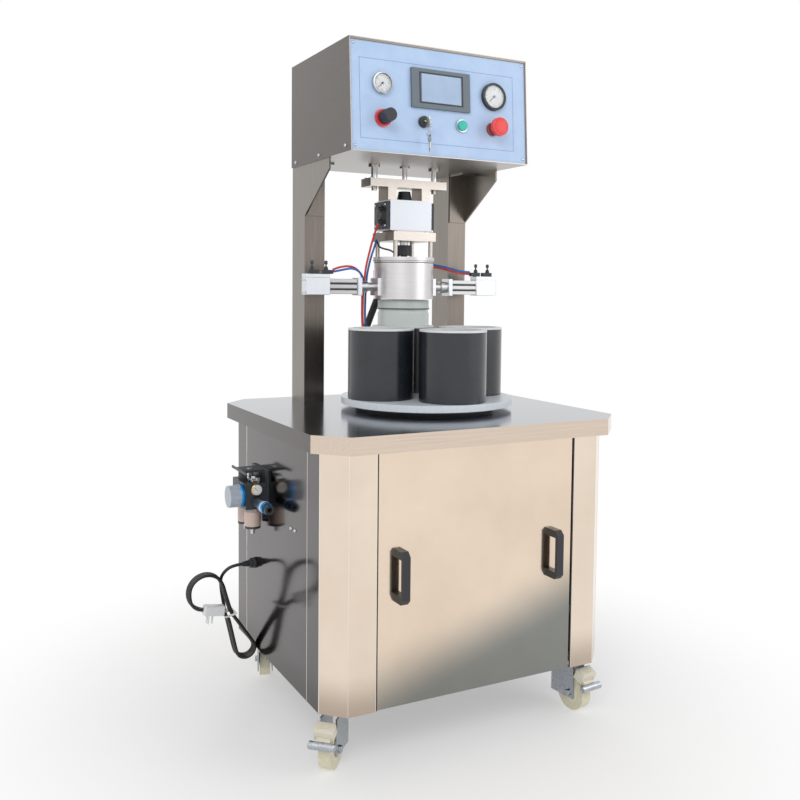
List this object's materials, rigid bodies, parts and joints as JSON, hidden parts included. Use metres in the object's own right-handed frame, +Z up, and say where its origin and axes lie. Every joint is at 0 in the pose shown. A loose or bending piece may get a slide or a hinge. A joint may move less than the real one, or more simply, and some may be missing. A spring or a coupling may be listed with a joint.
{
  "type": "jar vacuum screw capping machine",
  "caption": "Vacuum screw capping machine for jars: cabinet on casters, indexing turntable with jar nests, lifting capping head under a control box",
  "frame": {"origin": "centre of the machine's bounding box without its loose power cord, on the floor", "axes": "+X to the right as seen from the control panel, +Y from the panel to the back, +Z up"},
  "size_m": [0.832, 0.62, 1.43],
  "materials": {
    "cabinet_mirror": "mirror-finished stainless sheet, dark from what it reflects",
    "worktop_steel": "satin stainless sheet with a fine brushed grain",
    "box_steel": "brushed stainless housing",
    "panel_plate": "brushed panel face with a thin border line",
    "post_steel": "brushed rectangular tube",
    "machined_alu": "clear anodised machined plate",
    "actuator_alu": "clear anodised actuator body with black end parts",
    "ground_rod": "hard chromed ground rod",
    "chamber_alu": "fine turned and anodised bell",
    "clamp_alu": "anodised cylinder bodies with white blocks and black strips",
    "black_plastic": "fine satin black plastic",
    "cup_black": "black coated cup",
    "liner_white": "white machined plastic",
    "disc_white": "white machined plastic disc",
    "base_black": "black plastic ring",
    "jar_glass": "pale green clear glass",
    "lid_grey": "lacquered tinplate",
    "screen_glass": "grey bezel round a glossy screen",
    "gauge_rim": "black rim, white dial, clear lens",
    "needle_black": "thin black pointer",
    "fitting_metal": "chromed rings and collars",
    "key_steel": "nickel plated key",
    "button_green": "green moulded cap",
    "estop_red": "red moulded mushroom head",
    "motor_grey": "grey lacquered casting",
    "filter_grey": "dark moulded block with clear bowls",
    "dial_grey": "grey ribbed knob with a blue ring",
    "sleeve_blue": "blue anodised sleeve",
    "cord_black": "black cord sheath",
    "tie_white": "white cable tie",
    "plug_white": "white moulded plug with steel prongs",
    "hose_black": "black hose",
    "zinc": "blue zinc plated pressing",
    "wheel_cream": "cream elastomer tread",
    "pedal_beige": "beige moulded pedal with a steel roller"
  },
  "bodies": {
    "machine": {"cabinet_frame": "cabinet_mirror", "side_panels": "cabinet_mirror", "rear_panel": "cabinet_mirror", "worktop": "worktop_steel", "posts": "post_steel", "post_gussets": "post_steel", "head_housing": "box_steel", "control_panel": "panel_plate", "hmi": "screen_glass", "gauge_cases": "gauge_rim", "panel_fittings": "fitting_metal", "lift_cylinder": "machined_alu", "turntable_base": "base_black", "drive_gearmotor": "motor_grey", "vacuum_pump": "motor_grey", "filter_unit": "filter_grey", "cord_gland": "black_plastic", "power_cord": "cord_black", "cord_hank": "cord_black", "cord_tie": "tie_white", "power_plug": "plug_white", "caster_plates": "zinc"},
    "access_panel": {"front_panel": "cabinet_mirror", "panel_handles": "black_plastic"},
    "lifting_head": {"lift_rods": "ground_rod", "lift_plate": "machined_alu", "head_spacers": "machined_alu", "rotary_actuator": "actuator_alu", "middle_plate": "machined_alu", "vacuum_chamber": "chamber_alu", "chamber_fittings": "chamber_alu", "clamp_cylinders": "clamp_alu", "vacuum_hose": "hose_black"},
    "capping_spindle": {"spindle": "black_plastic", "cap_chuck": "black_plastic"},
    "left_grip": {"clamp_rod_left": "ground_rod"},
    "right_grip": {"clamp_rod_right": "ground_rod"},
    "turntable": {"turntable_disc": "disc_white", "nest_cups": "cup_black", "nest_liners": "liner_white", "sample_jar": "jar_glass", "sample_lid": "lid_grey"},
    "left_needle": {"gauge_needle_left": "needle_black"},
    "right_needle": {"gauge_needle_right": "needle_black"},
    "regulator": {"regulator_knob": "black_plastic"},
    "panel_key": {"key": "key_steel"},
    "start": {"start_button": "button_green"},
    "emergency_stop": {"estop_head": "estop_red"},
    "pressure_dial": {"filter_dial": "dial_grey"},
    "shutoff": {"valve_sleeve": "sleeve_blue"},
    "fork_front_left": {"caster_fork_front_left": "zinc"},
    "wheel_front_left": {"caster_wheel_front_left": "wheel_cream"},
    "pedal_front_left": {"brake_pedal_front_left": "pedal_beige"},
    "fork_front_right": {"caster_fork_front_right": "zinc"},
    "wheel_front_right": {"caster_wheel_front_right": "wheel_cream"},
    "pedal_front_right": {"brake_pedal_front_right": "pedal_beige"},
    "fork_rear_left": {"caster_fork_rear_left": "zinc"},
    "wheel_rear_left": {"caster_wheel_rear_left": "wheel_cream"},
    "fork_rear_right": {"caster_fork_rear_right": "zinc"},
    "wheel_rear_right": {"caster_wheel_rear_right": "wheel_cream"}
  },
  "joints": [
    {"name": "head_lift", "type": "slide", "parent": "machine", "child": "lifting_head", "axis": [0, 0, -1], "range_m": [0, 0.062]},
    {"name": "spindle_turn", "type": "hinge", "parent": "lifting_head", "child": "capping_spindle", "pos_m": [0.069, 0.13, 1], "axis": [0, 0, 1], "range_deg": [0, 180]},
    {"name": "left_grip_slide", "type": "slide", "parent": "lifting_head", "child": "left_grip", "axis": [1, 0, 0], "range_m": [0, 0.005]},
    {"name": "right_grip_slide", "type": "slide", "parent": "lifting_head", "child": "right_grip", "axis": [-1, 0, 0], "range_m": [0, 0.005]},
    {"name": "turntable_turn", "type": "hinge", "parent": "machine", "child": "turntable", "pos_m": [0.069, 0.015, 0.644], "axis": [0, 0, 1], "continuous": true},
    {"name": "panel_pull", "type": "slide", "parent": "machine", "child": "access_panel", "axis": [0, -1, 0], "range_m": [0, 0.3]},
    {"name": "left_needle_turn", "type": "hinge", "parent": "machine", "child": "left_needle", "pos_m": [-0.078, -0.04579, 1.33909], "axis": [0, -0.998, 0.0634], "range_deg": [-270, 0]},
    {"name": "right_needle_turn", "type": "hinge", "parent": "machine", "child": "right_needle", "pos_m": [0.2, -0.04579, 1.33909], "axis": [0, -0.998, 0.0634], "range_deg": [-270, 0]},
    {"name": "regulator_turn", "type": "hinge", "parent": "machine", "child": "regulator", "pos_m": [-0.076, -0.05435, 1.26749], "axis": [0, -0.998, 0.0634], "range_deg": [-150, 150]},
    {"name": "key_turn", "type": "hinge", "parent": "machine", "child": "panel_key", "pos_m": [0.021, -0.04936, 1.26717], "axis": [0, -0.998, 0.0634], "range_deg": [-90, 0]},
    {"name": "start_press", "type": "slide", "parent": "machine", "child": "start", "axis": [0, 0.998, -0.0634], "range_m": [0, 0.003], "stiffness_N_per_m": 300},
    {"name": "emergency_press", "type": "slide", "parent": "machine", "child": "emergency_stop", "axis": [0, 0.998, -0.0634], "range_m": [0, 0.004]},
    {"name": "pressure_dial_turn", "type": "hinge", "parent": "machine", "child": "pressure_dial", "pos_m": [-0.358, 0.06, 0.4715], "axis": [-1, 0, 0], "range_deg": [-150, 150]},
    {"name": "shutoff_slide", "type": "slide", "parent": "machine", "child": "shutoff", "axis": [0, -1, 0], "range_m": [0, 0.008]},
    {"name": "swivel_front_left", "type": "hinge", "parent": "machine", "child": "fork_front_left", "pos_m": [-0.246, -0.205, 0.1], "axis": [0, 0, 1], "continuous": true},
    {"name": "roll_front_left", "type": "hinge", "parent": "fork_front_left", "child": "wheel_front_left", "pos_m": [-0.26646, -0.22694, 0.0375], "axis": [0.7314, -0.682, 0], "continuous": true},
    {"name": "pedal_front_left_press", "type": "hinge", "parent": "fork_front_left", "child": "pedal_front_left", "pos_m": [-0.26646, -0.22694, 0.081], "axis": [0.7314, -0.682, 0], "range_deg": [0, 8]},
    {"name": "swivel_front_right", "type": "hinge", "parent": "machine", "child": "fork_front_right", "pos_m": [0.304, -0.205, 0.1], "axis": [0, 0, 1], "continuous": true},
    {"name": "roll_front_right", "type": "hinge", "parent": "fork_front_right", "child": "wheel_front_right", "pos_m": [0.30714, -0.23484, 0.0375], "axis": [0.9945, 0.1045, 0], "continuous": true},
    {"name": "pedal_front_right_press", "type": "hinge", "parent": "fork_front_right", "child": "pedal_front_right", "pos_m": [0.30714, -0.23484, 0.081], "axis": [0.9945, 0.1045, 0], "range_deg": [0, 8]},
    {"name": "swivel_rear_left", "type": "hinge", "parent": "machine", "child": "fork_rear_left", "pos_m": [-0.246, 0.205, 0.1], "axis": [0, 0, 1], "continuous": true},
    {"name": "roll_rear_left", "type": "hinge", "parent": "fork_rear_left", "child": "wheel_rear_left", "pos_m": [-0.23673, 0.23353, 0.0375], "axis": [-0.9511, 0.309, 0], "continuous": true},
    {"name": "swivel_rear_right", "type": "hinge", "parent": "machine", "child": "fork_rear_right", "pos_m": [0.304, 0.205, 0.1], "axis": [0, 0, 1], "continuous": true},
    {"name": "roll_rear_right", "type": "hinge", "parent": "fork_rear_right", "child": "wheel_rear_right", "pos_m": [0.29473, 0.23353, 0.0375], "axis": [-0.9511, -0.309, 0], "continuous": true}
  ],
  "couplings": [
    {"joint": "right_grip_slide", "follows": "left_grip_slide", "ratio": 1}
  ]
}
